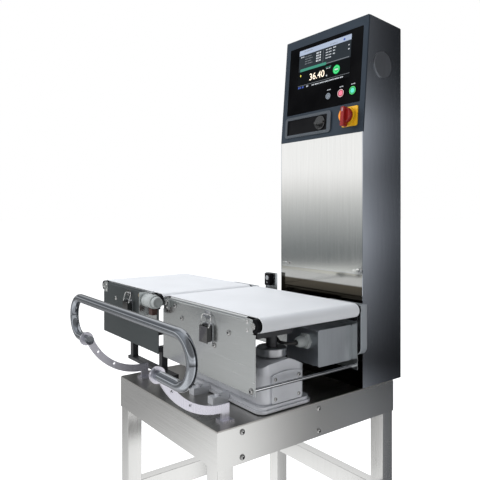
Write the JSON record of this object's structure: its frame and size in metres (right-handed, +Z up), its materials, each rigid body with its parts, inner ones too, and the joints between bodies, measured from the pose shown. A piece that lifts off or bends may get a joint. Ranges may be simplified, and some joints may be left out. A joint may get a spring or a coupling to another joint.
{
  "type": "checkweigher",
  "caption": "Checkweigher with an infeed belt and a weighing belt on a table frame, a tall cabinet with a leaning screen head and a tube guard.",
  "frame": {"origin": "on the floor, at the centre of the four feet's anchor holes", "axes": "+X along the line towards the outfeed, +Y to the back where the cabinet stands, +Z up"},
  "size_m": [0.9007, 0.7366, 1.5565],
  "materials": {
    "stainless_brushed": "brushed",
    "stainless_sheet": "satin",
    "stainless_polished": "polished",
    "steel_dark": "painted",
    "steel_zinc": "satin",
    "aluminium_cast": "satin",
    "belt_white": "matte",
    "bezel_blue_grey": "painted",
    "glass_black": "gloss",
    "plastic_black": "satin",
    "plastic_grey": "satin",
    "plastic_yellow": "satin",
    "plastic_red": "satin",
    "key_grey": "satin",
    "key_red": "satin",
    "key_green": "satin",
    "rubber_black": "matte",
    "circuit_green": "satin"
  },
  "bodies": {
    "frame": {"frame_tubes": "stainless_brushed", "apron_plates": "stainless_brushed", "deck_plate": "stainless_brushed", "deck_beams": "stainless_sheet", "levelling_feet": "steel_zinc", "machine_screws": "steel_zinc", "cabinet_shell": "stainless_brushed", "rear_cover": "stainless_brushed", "front_cover": "stainless_brushed", "lower_panel": "stainless_brushed", "side_disc": "stainless_polished", "head_bezel": "bezel_blue_grey", "touch_glass": "glass_black", "display_module": "plastic_black", "controller_board": "circuit_green", "power_supply": "aluminium_cast", "switch_plate": "plastic_yellow", "switch_body": "plastic_black", "port_frame": "plastic_grey", "weigh_side_plates": "stainless_sheet", "infeed_side_plates": "stainless_sheet", "slider_beds": "stainless_sheet", "conveyor_belts": "belt_white", "bearing_blocks": "plastic_grey", "tie_rods": "stainless_polished", "conveyor_motors": "steel_dark", "motor_covers": "stainless_sheet", "timing_belts": "rubber_black", "drive_covers": "stainless_sheet", "latch_bases": "stainless_polished", "cell_base": "aluminium_cast", "cell_body": "aluminium_cast", "cell_cover": "aluminium_cast", "platters": "aluminium_cast", "carrier": "steel_dark", "guard_rail": "stainless_polished", "guard_arms": "stainless_sheet", "infeed_stands": "steel_dark", "sensor_brackets": "stainless_sheet", "photo_sensors": "plastic_grey", "cable_glands": "steel_zinc", "motor_cable": "rubber_black"},
    "weigh_drive_roller_body": {"weigh_drive_roller": "stainless_polished"},
    "weigh_idler_roller_body": {"weigh_idler_roller": "stainless_polished"},
    "weigh_motor_pulley_body": {"weigh_motor_pulley": "aluminium_cast"},
    "infeed_drive_roller_body": {"infeed_drive_roller": "stainless_polished"},
    "infeed_idler_roller_body": {"infeed_idler_roller": "stainless_polished"},
    "infeed_motor_pulley_body": {"infeed_motor_pulley": "aluminium_cast"},
    "switch_knob_body": {"switch_knob": "plastic_red"},
    "menu_key_body": {"menu_key": "key_grey"},
    "stop_key_body": {"stop_key": "key_red"},
    "start_key_body": {"start_key": "key_green"},
    "port_door_body": {"port_door": "plastic_black"},
    "port_knob_body": {"port_knob": "plastic_black"},
    "weigh_latch_lever_body": {"weigh_latch_lever": "stainless_polished"},
    "weigh_latch_bail_body": {"weigh_latch_bail": "stainless_polished"},
    "infeed_latch_lever_body": {"infeed_latch_lever": "stainless_polished"},
    "infeed_latch_bail_body": {"infeed_latch_bail": "stainless_polished"},
    "left_catch_body": {"left_catch": "stainless_polished"},
    "right_catch_body": {"right_catch": "stainless_polished"}
  },
  "joints": [
    {"name": "weigh_drive_turn", "type": "hinge", "parent": "frame", "child": "weigh_drive_roller_body", "pos_m": [0.248, -0.0395, 0.807], "axis": [0, 1, 0], "continuous": true},
    {"name": "weigh_idler_turn", "type": "hinge", "parent": "frame", "child": "weigh_idler_roller_body", "pos_m": [-0.132, -0.0395, 0.807], "axis": [0, 1, 0], "continuous": true},
    {"name": "weigh_motor_turn", "type": "hinge", "parent": "frame", "child": "weigh_motor_pulley_body", "pos_m": [0.183, 0.118, 0.724], "axis": [0, 1, 0], "continuous": true},
    {"name": "infeed_drive_turn", "type": "hinge", "parent": "frame", "child": "infeed_drive_roller_body", "pos_m": [-0.178, -0.0395, 0.807], "axis": [0, 1, 0], "continuous": true},
    {"name": "infeed_idler_turn", "type": "hinge", "parent": "frame", "child": "infeed_idler_roller_body", "pos_m": [-0.549, -0.0395, 0.807], "axis": [0, 1, 0], "continuous": true},
    {"name": "infeed_motor_turn", "type": "hinge", "parent": "frame", "child": "infeed_motor_pulley_body", "pos_m": [-0.243, 0.118, 0.724], "axis": [0, 1, 0], "continuous": true},
    {"name": "weigh_latch_open", "type": "hinge", "parent": "frame", "child": "weigh_latch_lever_body", "pos_m": [0.073, -0.206, 0.779], "axis": [-1, 0, 0], "range_deg": [0, 100]},
    {"name": "weigh_bail_swing", "type": "hinge", "parent": "weigh_latch_lever_body", "child": "weigh_latch_bail_body", "pos_m": [0.073, -0.2125, 0.778], "axis": [-1, 0, 0], "range_deg": [-115, 0]},
    {"name": "infeed_latch_open", "type": "hinge", "parent": "frame", "child": "infeed_latch_lever_body", "pos_m": [-0.357, -0.206, 0.779], "axis": [-1, 0, 0], "range_deg": [0, 100]},
    {"name": "infeed_bail_swing", "type": "hinge", "parent": "infeed_latch_lever_body", "child": "infeed_latch_bail_body", "pos_m": [-0.357, -0.2125, 0.778], "axis": [-1, 0, 0], "range_deg": [-115, 0]},
    {"name": "switch_turn", "type": "hinge", "parent": "frame", "child": "switch_knob_body", "pos_m": [0.1885, 0.14669, 1.29791], "axis": [0, -0.9966, 0.0823], "range_deg": [0, 90]},
    {"name": "port_door_open", "type": "hinge", "parent": "frame", "child": "port_door_body", "pos_m": [-0.049, 0.16346, 1.29452], "axis": [0, -0.0823, -0.9966], "range_deg": [0, 110]},
    {"name": "port_knob_turn", "type": "hinge", "parent": "port_door_body", "child": "port_knob_body", "pos_m": [0.082, 0.16147, 1.29469], "axis": [0, -0.9966, 0.0823], "range_deg": [0, 90]},
    {"name": "left_catch_turn", "type": "hinge", "parent": "frame", "child": "left_catch_body", "pos_m": [-0.055, 0.161, 0.898], "axis": [0, -1, 0], "range_deg": [0, 90]},
    {"name": "right_catch_turn", "type": "hinge", "parent": "frame", "child": "right_catch_body", "pos_m": [0.218, 0.161, 0.898], "axis": [0, 1, 0], "range_deg": [0, 90]},
    {"name": "menu_key_press", "type": "slide", "parent": "frame", "child": "menu_key_body", "axis": [0, 0.9966, -0.0823], "range_m": [0, 0.002], "stiffness_N_per_m": 500, "springref_m": -0.001},
    {"name": "stop_key_press", "type": "slide", "parent": "frame", "child": "stop_key_body", "axis": [0, 0.9966, -0.0823], "range_m": [0, 0.002], "stiffness_N_per_m": 500, "springref_m": -0.001},
    {"name": "start_key_press", "type": "slide", "parent": "frame", "child": "start_key_body", "axis": [0, 0.9966, -0.0823], "range_m": [0, 0.002], "stiffness_N_per_m": 500, "springref_m": -0.001}
  ],
  "couplings": [
    {"joint": "weigh_idler_turn", "follows": "weigh_drive_turn", "ratio": 1},
    {"joint": "weigh_motor_turn", "follows": "weigh_drive_turn", "ratio": 1.25},
    {"joint": "weigh_bail_swing", "follows": "weigh_latch_open", "ratio": -1.15},
    {"joint": "infeed_idler_turn", "follows": "infeed_drive_turn", "ratio": 1},
    {"joint": "infeed_motor_turn", "follows": "infeed_drive_turn", "ratio": 1.25},
    {"joint": "infeed_bail_swing", "follows": "infeed_latch_open", "ratio": -1.15}
  ]
}
